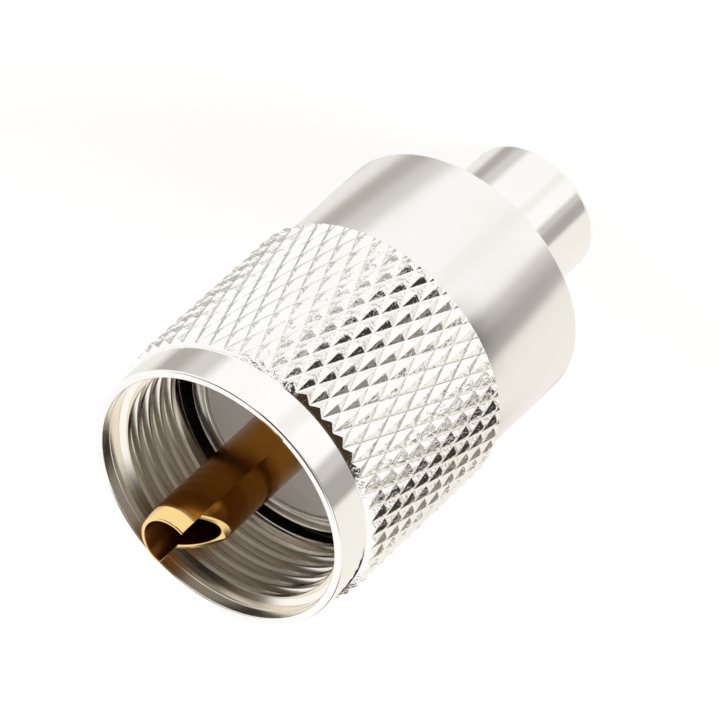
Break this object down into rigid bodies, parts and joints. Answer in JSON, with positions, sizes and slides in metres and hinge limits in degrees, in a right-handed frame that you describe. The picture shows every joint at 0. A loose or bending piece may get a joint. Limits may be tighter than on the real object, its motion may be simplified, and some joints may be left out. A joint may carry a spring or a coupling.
{
  "type": "uhf cable plug",
  "caption": "Coaxial UHF plug: knurled coupling nut on a turned body, hollow gold centre pin in a white insulator, and a crimp ferrule.",
  "frame": {"origin": "on the plug's axis, at the end face of the crimp ferrule, which it stands on", "axes": "+Z along the axis towards the mouth and the pin's nose; -X is the side of the notch in the pin's nose"},
  "size_m": [0.018, 0.018, 0.036],
  "materials": {
    "bright_nickel": "polished nickel plate on brass",
    "satin_nickel": "fine turned satin nickel plate on brass",
    "spring_bronze": "bare spring bronze",
    "ptfe": "white PTFE",
    "gold": "gold plate on brass"
  },
  "bodies": {
    "plug": {"plug_body": "satin_nickel", "front_insulator": "ptfe", "rear_insulator": "ptfe", "centre_contact": "gold", "crimp_ferrule": "bright_nickel"},
    "nut_ring": {"retaining_ring": "spring_bronze"},
    "nut": {"coupling_nut": "bright_nickel"}
  },
  "joints": [
    {"name": "nut_slide", "type": "slide", "parent": "plug", "child": "nut_ring", "axis": [0, 0, 1], "range_m": [0, 0.0025]},
    {"name": "nut_turn", "type": "hinge", "parent": "nut_ring", "child": "nut", "pos_m": [0, 0, 0.024], "axis": [0, 0, 1], "continuous": true}
  ]
}
